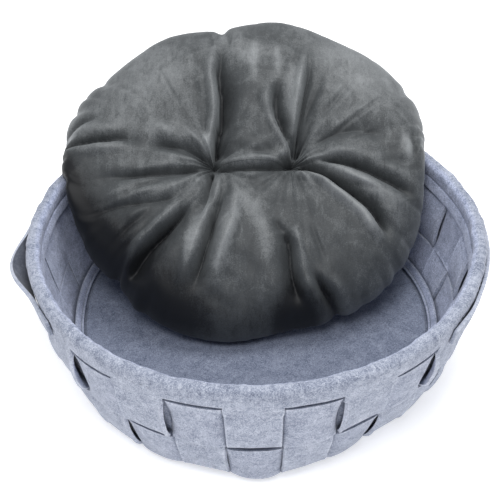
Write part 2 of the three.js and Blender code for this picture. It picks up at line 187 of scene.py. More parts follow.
# Radius, fall and lean of the weave's middle line at a distance down from the rim
def wall_line(down):
    down = np.asarray(down, float)
    slope = (LEAN_AT_BEND - LEAN_AT_RIM) / WALL_LENGTH
    here = LEAN_AT_RIM + slope * np.minimum(down, WALL_LENGTH)
    bent = np.maximum(0, down - WALL_LENGTH)
    lean = np.minimum(here + bent / BEND_RADIUS, math.pi / 2)
    flat = np.maximum(0, bent - BEND_RADIUS * (math.pi / 2 - LEAN_AT_BEND))
    inwards = (math.cos(LEAN_AT_RIM) - np.cos(here)) / slope
    inwards = inwards + BEND_RADIUS * (np.cos(here) - np.cos(lean)) + flat
    fall = (np.sin(here) - math.sin(LEAN_AT_RIM)) / slope
    fall = fall + BEND_RADIUS * (np.sin(lean) - np.sin(here))
    return RIM_LINE_RADIUS - inwards, fall, lean


RIM_HEIGHT = float(wall_line(FOOT_START)[1]) + FELT / 2


# How far the wall stands out from a true round at a turn and a distance down
def stand_off(turn, down):
    upper = np.clip(1 - np.asarray(down, float) / WALL_LENGTH, 0, 1)
    total = OUT_OF_ROUND[0] * upper * np.sin(OUT_OF_ROUND[1] * turn + OUT_OF_ROUND[2])
    for middle, spread, at_rim, at_foot in SWELLS:
        apart = turn - rad(middle)
        aside = np.arctan2(np.sin(apart), np.cos(apart)) / rad(spread)
        total = total + (at_foot + (at_rim - at_foot) * upper) * np.exp(-aside ** 2)
    return total


# A point on the wall: turn from the front towards +X, distance down, and offset outwards
def on_wall(turn, down, offset):
    turn, down, offset = np.broadcast_arrays(turn, down, offset)
    radius, fall, lean = wall_line(down)
    upper = np.clip(1 - np.maximum(down, 0) / WALL_LENGTH, 0, None)
    height = RIM_HEIGHT - fall + RIM_WAVE[0] * upper * np.sin(RIM_WAVE[1] * turn + RIM_WAVE[2])
    radius = radius + stand_off(turn, down) + offset * np.cos(lean)
    height = height - offset * np.sin(lean)
    return np.stack([radius * np.sin(turn), -radius * np.cos(turn), height], -1)


# Turns of the slits: each strip lies between the slit with its own number and the next one
def make_slit_turns():
    even = TAU / STRIP_COUNT
    shares = np.ones(STRIP_COUNT)
    for first, last, share in STRIP_SHARES:
        shares[first:last + 1] = share
    return FRONT_STRIP_TURN - even / 2 + even * np.concatenate([[0], np.cumsum(shares)])


SLIT_TURNS = make_slit_turns()


# Turns at shares across a strip, from -1 to 1, less a margin on the left and on the right
def across_strip(strip, across, left=0.0, right=0.0):
    low = SLIT_TURNS[strip] + left / SLIT_RADIUS
    high = SLIT_TURNS[strip + 1] - right / SLIT_RADIUS
    return low + (across + 1) / 2 * (high - low)


def row_depth(row, share):
    top, bottom = ROWS[row]
    return (top + bottom) / 2 + share * (bottom - top - ROW_GAP) / 2


# Whether the band lies outside the strip where they cross
def band_in_front(strip, row):
    return (strip + row) % 2 == 1


# A strip's number counted from the front one, negative on the left
def near_front(strip):
    return (strip + STRIP_COUNT // 2) % STRIP_COUNT - STRIP_COUNT // 2


def is_raised(strip, row):
    return row == 0 and abs(near_front(strip)) in RAISED_STRIPS


def slit_width(strip):
    if FLAT_STRIPS[0] <= strip % STRIP_COUNT < FLAT_STRIPS[1]:
        return FLAT_SHARE * SLIT
    usual = SLIT + SLIT_SPREAD * math.sin(SLIT_CYCLE * near_front(strip))
    return OPEN_SLITS.get(near_front(strip), usual)


# Offsets of a strip and a band where they cross
def crossing(strip, row, across, down):
    down = np.asarray(down, float)
    on_left = np.asarray(across) < 0
    place = near_front(strip)
    loose = FLAT_SHARE if FLAT_STRIPS[0] <= strip <= FLAT_STRIPS[1] else 1
    cycle = BULGE_CYCLE[0] * strip + BULGE_CYCLE[1] * row
    bulge = loose * (BULGE + BULGE_SPREAD * math.sin(cycle))
    flare_across = loose * EDGE_FLARE * across ** FLARE_POWER
    flare_down = loose * EDGE_FLARE * down ** FLARE_POWER
    dips = SLIT_DIPS.get(place, (0, 0)) if row == 0 else (0, 0)
    dip = np.where(on_left, *dips) * across ** DIP_POWER * (1 - down ** 2)
    if band_in_front(strip, row):
        at_bottom = BAND_TUCKS[1] if place else 0
        tuck = 1 - np.where(down < 0, BAND_TUCKS[0], at_bottom) * down ** FLARE_POWER
        inner_bulge = loose * INNER_BULGES[row] * (1 - down ** 2)
        on_strip = flare_down - LAYER - flare_across - inner_bulge - dip
        on_band = LAYER + flare_down - flare_across + bulge * (1 - across ** 2) * tuck - dip
        return on_strip, on_band
    curls = CURLS.get(place, (CURL, CURL))
    curl = loose * min(1, abs(place) / 2) * np.where(on_left, *curls)
    strip_bulge = bulge * (1 - STRIP_SIDE_LOSS * across ** FLARE_POWER) + curl * across ** CURL_POWER
    steep = np.where(down > 0, *BULGE_POWERS)
    hem_end = (down < 0) if row == 0 else False
    on_strip = LAYER + flare_across - np.where(hem_end, 0, flare_down)
    on_strip = on_strip + strip_bulge * (1 - np.abs(down) ** steep)
    return on_strip, flare_across - LAYER - flare_down - dip


def add_object(name, data):
    thing = bpy.data.objects.new(name, data)
    bpy.context.scene.collection.objects.link(thing)
    return thing


def new_piece(name, points, faces, node=None, values=None):
    mesh = bpy.data.meshes.new(name)
    mesh.from_pydata((np.reshape(points, (-1, 3)) * MM).tolist(), [], faces)
    for label, numbers in (values or {}).items():
        layer = mesh.attributes.new(label, "FLOAT", "POINT")
        layer.data.foreach_set("value", np.asarray(numbers, np.float32).reshape(-1))
    mesh.validate()
    mesh.update()
    mesh.shade_smooth()
    piece = add_object(name, mesh)
    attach(piece, "root")
    if node:
        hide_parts(node)
    return piece


def grid_faces(rows, columns, start=0, wrap=False):
    faces = []
    for i in range(rows - 1):
        a = start + i * columns
        b = a + columns
        for j in range(columns if wrap else columns - 1):
            k = (j + 1) % columns
            faces.append((a + j, a + k, b + k, b + j))
    return faces


# Joins points within a distance in metres, and turns all faces outwards
def weld(piece, distance=1e-6):
    work = bmesh.new()
    work.from_mesh(piece.data)
    bmesh.ops.remove_doubles(work, verts=work.verts, dist=distance)
    bmesh.ops.recalc_face_normals(work, faces=work.faces)
    work.to_mesh(piece.data)
    work.free()


# Gives a sheet its felt thickness and softly rounded cut edges
def thicken(piece):
    solid = piece.modifiers.new("thickness", "SOLIDIFY")
    solid.thickness = FELT * MM
    solid.offset = 0
    bevel = piece.modifiers.new("cut_edges", "BEVEL")
    bevel.width = CUT_ROUNDING * MM
    bevel.segments = 2
    bevel.limit_method = "ANGLE"
    bevel.angle_limit = CUT_ANGLE
    bevel.harden_normals = True


# Shares across a block and down it at which the weave has points
RIGHT_SHARES = np.array([0.1, 0.3, 0.5, 0.66, 0.8, 0.88, 0.93, 0.97, 1])
EDGE_SHARES = np.concatenate([-RIGHT_SHARES[::-1], RIGHT_SHARES])
LOWER_SHARES = np.array([0.2, 0.4, 0.58, 0.75, 0.87, 0.95, 1])
DOWN_SHARES = np.concatenate([-LOWER_SHARES[::-1], [0], LOWER_SHARES])


# From 0 to 1 over the last share of the way to a cut edge
def near_cut(shares, last=0.1):
    return np.clip((np.abs(shares) - 1 + last) / last, 0, 1)


def outwards(points):
    level = points * [1, 1, 0]
    return level / np.linalg.norm(level, axis=-1, keepdims=True)


def felt_uneven(points):
    broad = FELT_UNEVEN * ripples(points, BROAD_WAVE, FELT_SEED)
    return broad + FINE_SHARE * FELT_UNEVEN * ripples(points, FINE_WAVE, FELT_SEED + 1)


# Moves the wall's points by the felt's unevenness, and puckers the hem's top
def roughen_wall(points):
    outward = outwards(points)
    height = points[:, 2:]
    calm = np.clip((height - CALM_START) / CALM_RANGE, 0, 1)
    points = points + outward * calm * felt_uneven(points)[:, None]
    top = np.clip((height - RIM_HEIGHT + HEM_TOP_START) / HEM_TOP_RANGE, 0, 1)
    around = np.arctan2(points[:, 0], -points[:, 1])[:, None] * RIM_LINE_RADIUS
    spread = np.concatenate([around, height * PUCKER_STRETCH], 1)
    points = points + outward * top * PUCKER * ripples(spread, *PUCKER_WAVES)[:, None]
    points[:, 2:] += top * HEM_WAVE * ripples(around, *HEM_WAVES)[:, None]
    return points


# The wall: one felt sheet with a rolled hem, strips between slits, and a turned-in foot
def make_wall():
    hem = list(HEM_INSIDE)
    for degrees in range(180, -1, -ROLL_STEP):
        down = -ROLL_RADIUS * math.sin(rad(degrees))
        hem.append((down, ROLL_OFFSET + ROLL_RADIUS * math.cos(rad(degrees))))
    hem += HEM_OUTSIDE
    points, faces, cut = [], [], []
    columns = len(EDGE_SHARES)
    uncut = [np.zeros(columns)]
    side_cut = [near_cut(EDGE_SHARES)]
    for strip in range(STRIP_COUNT):
        whole = across_strip(strip, EDGE_SHARES)
        section = hem + list(HEM_SET_IN if is_raised(strip, 0) else HEM_PLAIN)
        rows = [on_wall(whole, down, offset) for down, offset in section]
        for row in range(len(ROWS)):
            drawn = abs(near_front(strip)) <= DRAWN_STRIPS and not band_in_front(strip, row)
            for share in DOWN_SHARES:
                offset = crossing(strip, row, EDGE_SHARES, share)[0]
                draw = EDGE_DRAW * (1 - share ** 2) if drawn else 0
                left = slit_width(strip - 1) / 2 + draw
                right = slit_width(strip) / 2 + draw
                joined = row == 0 and share == DOWN_SHARES[0]
                turn = whole if joined else across_strip(strip, EDGE_SHARES, left, right)
                rows.append(on_wall(turn, row_depth(row, share), offset))
        rows += [on_wall(whole, down, 0) for down in FOOT_ROWS]
        faces += grid_faces(len(rows), columns, len(points) * columns)
        points += rows
        woven = len(rows) - len(section) - len(FOOT_ROWS)
        cut += uncut * len(section) + side_cut * woven + uncut * len(FOOT_ROWS)
    points = roughen_wall(np.array(points).reshape(-1, 3))
    wall = new_piece("wall_felt", points, faces, "wall", {"cut": cut})
    weld(wall, 2e-5)
    thicken(wall)
    return wall


def make_band(row, node):
    points = []
    for strip in range(STRIP_COUNT):
        turn = across_strip(strip, EDGE_SHARES, SLIT / 2, SLIT / 2)
        shift = FRONT_DROP if row == 1 and strip == 0 else 0
        if is_raised(strip, row):
            shift = -TOP_RISE
        down = row_depth(row, DOWN_SHARES) + shift * np.maximum(0, -DOWN_SHARES) ** SHIFT_POWER
        for across, here in zip(EDGE_SHARES, turn):
            points.append(on_wall(here, down, crossing(strip, row, across, DOWN_SHARES)[1]))
    points = np.array(points)
    points = points + outwards(points) * felt_uneven(points)[..., None]
    sections = np.transpose(points, (1, 0, 2))
    faces = grid_faces(*sections.shape[:2], wrap=True)
    cut = near_cut(DOWN_SHARES)[:, None] + np.zeros(sections.shape[:2])
    band = new_piece(node + "_felt", sections, faces, node, {"cut": cut})
    weld(band)
    thicken(band)
    return band


# A closed ring along the wall, from a section of (radius, height, distance down) points
def make_ring(node, section, steps, uneven):
    turn = np.arange(steps) * TAU / steps
    radius, height, down = np.array(section).T[:, :, None]
    radius = np.where(radius > 1, radius + stand_off(turn, down), radius)
    points = np.stack([radius * np.sin(turn), -radius * np.cos(turn), height + 0 * radius], -1)
    points[..., 2] += uneven[:, None] * ripples(points, RING_WAVE, RING_SEED)
    faces = grid_faces(len(section), steps, wrap=True)
    return new_piece(node + "_felt", points, faces, node)


def beside_wall(down, offset):
    radius, fall, lean = wall_line(down)
    out = float(radius + offset * np.cos(lean))
    return out, float(RIM_HEIGHT - fall - offset * np.sin(lean)), down


def on_floor(radius, height):
    return radius, height, FLOOR_TOP_DEPTH


def by_foot(radius, height):
    return radius, height, FOOT_START


def make_floor():
    foot = float(wall_line(FOOT_END)[0]) - SEAT_GAP
    on_foot = FELT + SEAT_GAP
    side = beside_wall(FLOOR_TOP_DEPTH, WEAVE_REACH)
    section = [by_foot(radius, 0) for radius in (*UNDER_RADII, foot - FOOT_BEVEL[0])]
    section += [by_foot(foot, height) for height in (FOOT_BEVEL[1], on_foot)]
    section.append(by_foot(foot + FLOOR_ON_FOOT, on_foot))
    section += [beside_wall(FLOOR_SIDE_DEPTH, WEAVE_REACH), side]
    section.append(on_floor(side[0] - FELT, FLOOR_TOP))
    section += [on_floor(EDGE_RADIUS + out, FLOOR_TOP - down) for out, down in FLOOR_GROOVE]
    level = len(section)
    rings = np.linspace(side[0] - FLOOR_FIRST_RING, MIDDLE, FLOOR_RINGS)
    inner = [radius for radius in rings if radius < EDGE_RADIUS + FLOOR_GROOVE[-1][0]]
    section += [on_floor(radius, FLOOR_TOP) for radius in inner]
    rise = np.clip(np.arange(len(inner)) / FLOOR_CALM_RINGS, 0, 1) * FLOOR_UNEVEN
    uneven = np.concatenate([np.zeros(level), rise])
    floor = make_ring("floor", section, FLOOR_STEPS, uneven)
    weld(floor, 3e-5)
    return floor


def make_floor_edge():
    seat = FLOOR_TOP + SEAT_GAP
    outer = beside_wall(FLOOR_TOP_DEPTH, WEAVE_REACH)[0] - FELT
    section = [on_floor(r, seat) for r in (EDGE_RADIUS, (EDGE_RADIUS + outer) / 2, outer)]
    section += [beside_wall(EDGE_TOP_DEPTH + down, WEAVE_REACH) for down in EDGE_OUTER]
    for degrees in EDGE_ROUND_TURNS:
        across = FELT / 2 * math.cos(rad(degrees))
        up = EDGE_ROUNDING * math.sin(rad(degrees))
        section.append(beside_wall(EDGE_TOP_DEPTH + EDGE_OUTER[-1] - up, WEAVE_REACH - FELT / 2 + across))
    for down, bulge in EDGE_INNER:
        section.append(beside_wall(EDGE_TOP_DEPTH + down, WEAVE_REACH - FELT - bulge))
    section += [on_floor(EDGE_RADIUS + out, seat + up) for out, up in EDGE_TOE]
    edge = make_ring("floor_edge", section, EDGE_STEPS, np.zeros(len(section)))
    weld(edge)
    return edge


# A felt strap whose ends lie on the hem and whose middle bows away from the wall
def make_strap(node, side, ends, bow_ends, bow):
    turn = np.linspace(*ends, STRAP_COLUMNS)
    along = np.clip((turn - bow_ends[0]) / (bow_ends[1] - bow_ends[0]), 0, 1)
    free = np.sin(math.pi * along) ** 2
    share = np.linspace(0, 1, STRAP_ROWS)[:, None]
    seat = STRAP_SEAT + SEAT_GAP + FELT / 2 - STRAP_LEAN * share
    down = STRAP_TOP + share * (STRAP_BOTTOM - STRAP_TOP)
    offset = seat + free * (bow[0] + (bow[1] - bow[0]) * share)
    points = on_wall(side * np.radians(turn)[None, :], down, offset)
    faces = grid_faces(*points.shape[:2])
    cut = (np.abs(share - 0.5) > STRAP_CUT) + np.zeros(points.shape[:2])
    strap = new_piece(node + "_felt", points, faces, node, {"cut": cut})
    thicken(strap)
    return strap


# A row of thread stitches sunk a little into the hem's outer face
def make_stitches():
    points, faces = [], []
    half = STITCH_LENGTH / 2 / STITCH_LINE_RADIUS
    last = (len(STITCH_SECTIONS) - 1) * STITCH_SIDES
    for i in range(STITCH_COUNT):
        middle = i * TAU / STITCH_COUNT
        start = len(points)
        for share, thick in STITCH_SECTIONS:
            offset = STITCH_OFFSET - STITCH_SINK * share ** 4
            for k in range(STITCH_SIDES):
                a = k * TAU / STITCH_SIDES
                points.append(on_wall(
                    middle + share * half,
                    STITCH_DOWN + STITCH_RADIUS * thick * math.cos(a),
                    offset + STITCH_RADIUS * thick * math.sin(a),
                ))
        faces += grid_faces(len(STITCH_SECTIONS), STITCH_SIDES, start, wrap=True)
        faces.append(tuple(start + k for k in range(STITCH_SIDES)))
        faces.append(tuple(start + last + k for k in reversed(range(STITCH_SIDES))))
    stitches = new_piece("hem_stitches", points, faces)
    weld(stitches, 1e-7)
    return stitches


# Cushion: its frame has x to the right, y up the slope and z out of its upper face
CUSHION_TILT = rad(32)
CUSHION_PLACE = np.array([0, 110, 135.5])
CROWN = 55.0
UNDERSIDE = 44.0
EDGE_POWER = 3.0
TUFT_SPACING = 41.0
TUFT_FAN = 5.0
TUFT_DEPTH, TUFT_REACH = 26.0, 46.0
# Tuft pits: depth, reach, and the painted shade in them
PIT_DEPTH, PIT_REACH, PIT_PAINTED_SHADE = 15.0, 8.0, 0.3
UNDER_TUFT_DEPTH = 8.0
# Lift over the basket's rim: clearance, slopes, how much less in the middle, softness and smoothing
RIM_CLEARANCE = 3.0
LIFT_SLOPES = (2.2, 1.2)
LIFT_EASE = 0.5
LIFT_SOFTNESS = 9.0
LIFT_EDGE_POWER = 8
SMOOTH_STEPS = (24, 18, 12, 8, 5, 3)
# Mesh: rings lie closer together towards the seam by these powers
SPOKES, UPPER_RINGS, LOWER_RINGS = 480, 130, 40
UPPER_CROWDING, LOWER_CROWDING = 1.35, 1.6
PATH_STEPS = 6
# Fine creases round a tuft: waves round it, size and reach, and each tuft's side and seed
CREASE_COUNTS = (7, 11, 17, 24)
CREASE_SIZE, CREASE_REACH = 5.0, 42.0
CREASE_SEEDS = ((-1, 41), (1, 43))
# Lumps of the filling: size, length and seed
LUMPS = ((1.4, 75, 21), (0.6, 30, 22))
# How flat the relief is by the seam, and the plain value of the painted light and shade above and below,
# lower below as painted shade on the underside
RELIEF_RISE = 1.3
PLAIN_PAINTED_SHADING, UNDER_PAINTED_SHADING = 0.5, 0.4
# Painted shade in gathers and fold valleys, painted light on fold ridges, and both on creases
GATHER_PAINTED_SHADE, CREASE_PAINTED_SHADING, RIDGE_PAINTED_LIGHT, VALLEY_PAINTED_SHADE = 0.02, 0.03, 0.03, 0.017

# Outline about the middle between the tufts, every 20 degrees from the right
CUSHION_OUTLINE = (
    185, 197, 193, 185, 187, 179, 192, 196, 211, 205, 202, 190, 192, 187, 177, 185, 190, 188,
)

# Folds of the upper face: path in plan, the valley's depth or (negative) a ridge's height, half width
# left and right of the path, the ridges' height left and right, and the shares of the path over which
# the fold sets in and dies away
FOLDS = (
    (((-41, 3), (-39, 25), (-34, 47), (-33, 65), (-34, 82), (-36, 103), (-33, 123), (-31, 150)),
     24, 2.2, 11, 8, 1, 0.08, 0.5),
    (((42, 4), (39, 22), (32, 37), (26, 52), (24, 66), (27, 79), (31, 99)),
     14, 2.2, 8, 6, 2, 0.08, 0.4),
    (((44, 4), (47, 28), (51, 49), (56, 70), (60, 88), (64, 104), (68, 120)),
     12, 2.2, 10, 6, 1, 0.08, 0.4),
    (((-39, -5), (-19, -7), (2, -8), (23, -6), (41, 2)), 10, 2.6, 2, 6, 1, 0.1, 0.1),
    (((-46, 4), (-72, 15), (-98, 17), (-124, 10)), 8, 5, 6, 2, 6, 0.1, 0.5),
    (((-50, -5), (-87, -14), (-124, -18), (-155, -21), (-180, -28)), 7, 6, 4, 4, 2, 0.1, 0.4),
    (((-204, 11), (-162, 20), (-139, 23), (-108, 19)), 13, 4, 3, 3, 6, 0.05, 0.6),
    (((-52, -34), (-70, -54), (-87, -72), (-100, -85), (-113, -99), (-134, -128)),
     20, 8, 3, 3, 10, 0.5, 0.15),
    (((-42, -6), (-46, -27), (-49, -45), (-58, -70)), 14, 3, 4, 4, 3, 0.1, 0.5),
    (((-34, -22), (-36, -46), (-44, -74), (-53, -104), (-66, -146)), 15, 6, 4, 7, 7, 0.25, 0.35),
    (((-30, -14), (-18, -40), (-22, -72), (-34, -98), (-48, -126)), -5, 4, 5, 0, 0, 0.3, 0.5),
    (((20, -63), (26, -76), (36, -80)), 5, 2.6, 3, 1.5, 1, 0.5, 0.4),
    (((29, -74), (36, -95), (38, -122), (43, -142), (50, -160)), 14, 4, 8, 6, 3, 0.2, 0.3),
    (((45, -3), (73, -15), (93, -31), (111, -46), (126, -62), (142, -92)),
     16, 5, 3, 5, 9, 0.08, 0.22),
    (((62, 1), (90, -4), (113, -12), (146, -29), (178, -48)), 12, 4, 4.5, 4, 5, 0.2, 0.25),
    (((60, 14), (82, 25), (104, 30), (127, 27), (150, 18)), 6, 6, 6, 2, 2, 0.2, 0.4),
    (((58, -118), (68, -136), (79, -151), (90, -172)), 16, 4, 5, 6, 7, 0.5, 0.05),
    (((-208, 38), (-179, 45), (-156, 46)), 9, 4, 4, 2, 3, 0.05, 0.6),
    (((-24, 130), (-22, 148), (-25, 166)), 4, 2.5, 2.5, 2, 2, 0.4, 0.4),
    (((-44, 128), (-42, 148), (-44, 160)), 4, 2.5, 2.5, 2, 2, 0.4, 0.4),
    (((-70, -40), (-110, -48), (-150, -54), (-178, -64)), 4, 3, 3, 2, 2, 0.3, 0.5),
    (((165, 22), (172, 6), (170, -10)), 6, 3, 3, 3, 3, 0.4, 0.4),
)
# A fold's half width at its start and how much it grows, its valley's shape, and its ridge's place
FOLD_START_WIDTH, FOLD_GROWTH = 0.8, 0.6
VALLEY_POWER = 1.3
RIDGE_PLACE, RIDGE_ROOM = 1.9, 3

# Strokes of painted light, lighter, and of painted shade, darker: path, half width and strength. Their
# ends are weaker by a share and a power, and narrower
STROKE_END, STROKE_POWER = 0.15, 0.7
PAINTED_SHADING_STROKES = (
    (((4, 96), (3, 118), (6, 146)), 6, 0.22),
    (((26, 90), (30, 112), (28, 140)), 5, 0.24),
    (((37, 52), (43, 82), (48, 110)), 8, 0.26),
    (((-20, -20), (-4, -48), (7, -74), (12, -112)), 9, 0.19),
    (((6, -84), (10, -100), (12, -114)), 8, 0.1),
    (((-58, -56), (-66, -86), (-72, -114)), 6, 0.24),
    (((-22, -20), (-14, -46), (-22, -78), (-40, -118)), 4, 0.2),
    (((160, 24), (166, 8), (164, -8)), 6, 0.34),
    (((60, -22), (95, -48), (130, -84)), 7, 0.14),
    (((-160, 40), (-110, 100), (-64, 140)), 50, 0.2),
    (((60, 150), (120, 110), (150, 50)), 50, 0.26),
    (((-10, 110), (-8, 150)), 30, 0.2),
    (((-190, -40), (-160, -105), (-100, -155), (-30, -180)), 50, -0.6),
    (((-150, -60), (-110, -60), (-90, -90)), 22, -0.1),
    (((-216, 10), (-202, -55), (-165, -118), (-110, -165)), 30, -0.45),
    (((-209, 24), (-204, -10), (-198, -40), (-188, -72), (-166, -102)), 15, -0.5),
    (((20, -170), (60, -150), (110, -140)), 26, -0.22),
    (((10, -180), (80, -176)), 36, -0.54),
    (((-30, -95), (30, -105), (70, -90)), 30, -0.06),
    (((-20, 60), (-16, 90)), 10, -0.08),
)

# Gathers along the edge seam: how many, their seed, shift aside and least share, how they fade, their
# strength by direction in degrees, and depth, half width, length and pull on the outline at most
GATHERS, GATHER_SEED, GATHER_SHIFT, GATHER_LEAST = 40, 17, 0.45, 0.3
GATHER_FADE, GATHER_POWER = 1.5, 1.4
GATHER_STRENGTH = (
    (0, 0.7), (30, 0.4), (50, 0.15), (135, 0.15), (150, 0.9),
    (190, 0.9), (210, 0.3), (290, 0.3), (310, 0.7), (360, 0.7),
)
GATHER_DEPTH, GATHER_WIDTH, GATHER_LENGTH, GATHER_PULL = 7.0, 6.0, 62.0, 3.0
# Deeper gathers that show: direction in degrees, how far the outline is drawn in, and half width
NOTCHES = (
    (100.5, 6, 7), (-62, 6, 7), (172, 3.5, 7), (160, 4, 6), (147, 3.5, 6), (12, 3.5, 6), (-38, 3, 6),
    (28, 2.5, 6), (219, 5, 6), (229, -4, 10), (181, 3, 5), (191, 3, 6), (203, 2.5, 6),
)
# Faint wrinkles that run about away from the tufts: how many, their depth, half width and length at
# most and the least share of them, where they start, and how far they turn aside
WRINKLES, WRINKLE_SEED = 60, 29
WRINKLE_SIZES, WRINKLE_LEAST = (2.2, 4.5, 90.0), 0.35
WRINKLE_STARTS, WRINKLE_SKEW = (18, 105), 0.15
WRINKLE_RIDGE, WRINKLE_HALFWAY = 0.6, 40


def along_curve(knots, place, wrap):
    count = len(knots)
    i = np.floor(place).astype(int)
    t = place - i
    index = [(i + k) % count if wrap else np.clip(i + k, 0, count - 1) for k in (-1, 0, 1, 2)]
    a, b, c, d = (knots[k] for k in index)
    if knots.ndim > 1:
        t = t[:, None]
    return b + 0.5 * t * (c - a + t * (2 * a - 5 * b + 4 * c - d + t * (3 * (b - c) + d - a)))


# Distance to a smooth path, signed by its side, and the share of the way along it
def beside_path(x, y, corners):
    corners = np.array(corners, float)
    steps = np.linspace(0, len(corners) - 1, PATH_STEPS * len(corners))
    path = along_curve(corners, steps, False)
    lengths = np.linalg.norm(np.diff(path, axis=0), axis=1)
    before = np.concatenate([[0], np.cumsum(lengths)])
    best = np.full(x.shape, 1e9)
    signed = np.zeros(x.shape)
    along = np.zeros(x.shape)
    for i, length in enumerate(lengths):
        start = path[i]
        way = (path[i + 1] - start) / length
        share = np.clip((x - start[0]) * way[0] + (y - start[1]) * way[1], 0, length)
        dx = x - start[0] - share * way[0]
        dy = y - start[1] - share * way[1]
        away = np.hypot(dx, dy)
        near = away < best
        best = np.where(near, away, best)
        signed = np.where(near, np.where(way[0] * dy - way[1] * dx >= 0, away, -away), signed)
        along = np.where(near, (before[i] + share) / before[-1], along)
    return signed, along


# From 0 to 1, with a soft start and end
def eased(share):
    return np.sin(np.clip(share, 0, 1) * math.pi / 2) ** 2


# Height of the folds, with painted light on their ridges and painted shade in their valleys, and the
# painted strokes
def fold_shape(x, y):
    height = np.zeros(x.shape)
    painted_shading = np.zeros(x.shape)
    for path, depth, left_width, right_width, left_ridge, right_ridge, set_in, die_away in FOLDS:
        aside, along = beside_path(x, y, path)
        fade = eased(along / set_in) * eased((1 - along) / die_away)
        width = np.where(aside > 0, left_width, right_width) * (FOLD_START_WIDTH + FOLD_GROWTH * along)
        ridge = np.where(aside > 0, left_ridge, right_ridge)
        away = np.abs(aside)
        valley = fade * np.exp(-(away / width) ** VALLEY_POWER)
        crest = fade * np.exp(-((away - RIDGE_PLACE * width - RIDGE_ROOM) / (width + RIDGE_ROOM)) ** 2)
        height += ridge * crest - depth * valley
        painted_shading += RIDGE_PAINTED_LIGHT * ridge * crest - VALLEY_PAINTED_SHADE * depth * valley
    for path, width, strength in PAINTED_SHADING_STROKES:
        aside, along = beside_path(x, y, path)
        taper = np.sin(math.pi * np.clip(along, 0.02, 0.98)) ** STROKE_POWER
        taper = STROKE_END + (1 - STROKE_END) * taper
        painted_shading += strength * taper * np.exp(-(aside / (width * (1 + taper) / 2)) ** 2)
    return height, painted_shading


def tuft_dip(x, y, depth, reach):
    left = np.hypot(x + TUFT_SPACING, y)
    right = np.hypot(x - TUFT_SPACING, y)
    return depth * np.maximum(np.exp(-left / reach), np.exp(-right / reach))


# Fine creases that fan out from each tuft and die away
def tuft_creases(x, y):
    total = np.zeros(x.shape)
    for side, seed in CREASE_SEEDS:
        draw = np.random.default_rng(seed)
        away = np.hypot(x - side * TUFT_SPACING, y)
        turn = np.arctan2(y, x - side * TUFT_SPACING)
        waves = sum(np.sin(n * turn + draw.uniform(0, TAU)) for n in CREASE_COUNTS)
        waves = waves / len(CREASE_COUNTS)
        total += CREASE_SIZE * waves * np.exp(-away / CREASE_REACH) * (1 - np.exp(-away / PIT_REACH))
    return total


# Faint wrinkles, each along a short line that points away from the nearer tuft
def wrinkle_height(x, y):
    draw = np.random.default_rng(WRINKLE_SEED)
    total = np.zeros(x.shape)
    for i in range(WRINKLES):
        tuft = TUFT_SPACING * (-1) ** i
        turn = draw.uniform(0, TAU)
        way = turn + draw.uniform(-WRINKLE_SKEW, WRINKLE_SKEW)
        start = draw.uniform(*WRINKLE_STARTS)
        depth, width, length = draw.uniform(WRINKLE_LEAST, 1, 3) * WRINKLE_SIZES
        dx = x - tuft - start * math.cos(turn)
        dy = y - start * math.sin(turn)
        along = dx * math.cos(way) + dy * math.sin(way)
        aside = dy * math.cos(way) - dx * math.sin(way)
        nearer = np.hypot(x + tuft, y) - np.hypot(x - tuft, y)
        fade = np.sin(np.clip(along / length, 0, 1) * math.pi) * eased(nearer / WRINKLE_HALFWAY)
        ridges = WRINKLE_RIDGE * np.exp(-((np.abs(aside) - 2 * width) / width) ** 2)
        total += depth * fade * (ridges - np.exp(-(aside / width) ** 2))
    return total


# Each gather: its direction, and shares of the greatest depth, length and width
def draw_gathers():
    draw = np.random.default_rng(GATHER_SEED)
    places = (np.arange(GATHERS) + draw.uniform(-GATHER_SHIFT, GATHER_SHIFT, GATHERS)) * TAU / GATHERS
    sizes, lengths, widths = draw.uniform(GATHER_LEAST, 1, (3, GATHERS))
    turns, strengths = np.transpose(GATHER_STRENGTH)
    sizes = sizes * np.interp(np.degrees(places) % 360, turns, strengths)
    return list(zip(places, sizes, lengths, widths))


GATHER_LIST = draw_gathers()


# Distance across a spoke in another direction, only near that spoke
def beside_spoke(angle, middle, radius):
    return np.where(np.cos(angle - middle) > 0, radius * np.sin(angle - middle), 1e3)


def outline_radius(angle):
    knots = np.array(CUSHION_OUTLINE, float)
    radius = along_curve(knots, (angle / TAU * len(knots)) % len(knots), True)
    pulls = [(rad(degrees), depth, width) for degrees, depth, width in NOTCHES]
    for middle, size, _, wide in GATHER_LIST:
        pulls.append((middle, size * GATHER_PULL, wide * GATHER_WIDTH))
    drawn_in = np.zeros(angle.shape)
    for middle, depth, width in pulls:
        drawn_in += depth * np.exp(-(beside_spoke(angle, middle, radius) / width) ** 2)
    return radius - drawn_in


def to_world(local):
    c, s = math.cos(CUSHION_TILT), math.sin(CUSHION_TILT)
    x, y, z = local[..., 0], local[..., 1], local[..., 2]
    return np.stack([x, y * c - z * s, y * s + z * c], -1) + CUSHION_PLACE


# How far the cushion is lifted to lie over the basket's rim
def rim_lift(points):
    radius = np.hypot(points[..., 0], points[..., 1])
    turn = np.arctan2(points[..., 0], -points[..., 1])
    middle = RIM_LINE_RADIUS + ROLL_OFFSET + stand_off(turn, 0)
    past = np.maximum(0, np.abs(radius - middle) - ROLL_RADIUS - FELT / 2 - RIM_CLEARANCE)
    slope = np.where(radius < middle, *LIFT_SLOPES)
    top = RIM_HEIGHT + ROLL_RADIUS + FELT / 2 + RIM_WAVE[0] + RIM_CLEARANCE
    short = top - past * slope - points[..., 2]
    return (short + np.hypot(short, LIFT_SOFTNESS)) / 2


# Evens out values on the spokes and rings, which go round in the second direction
def smoothed(values):
    for step in SMOOTH_STEPS:
        values = (np.roll(values, step, 1) + np.roll(values, -step, 1) + values) / 3
        padded = np.pad(values, ((step, step), (0, 0)), mode="edge")
        values = (padded[: -2 * step] + padded[2 * step:] + values) / 3
    return values


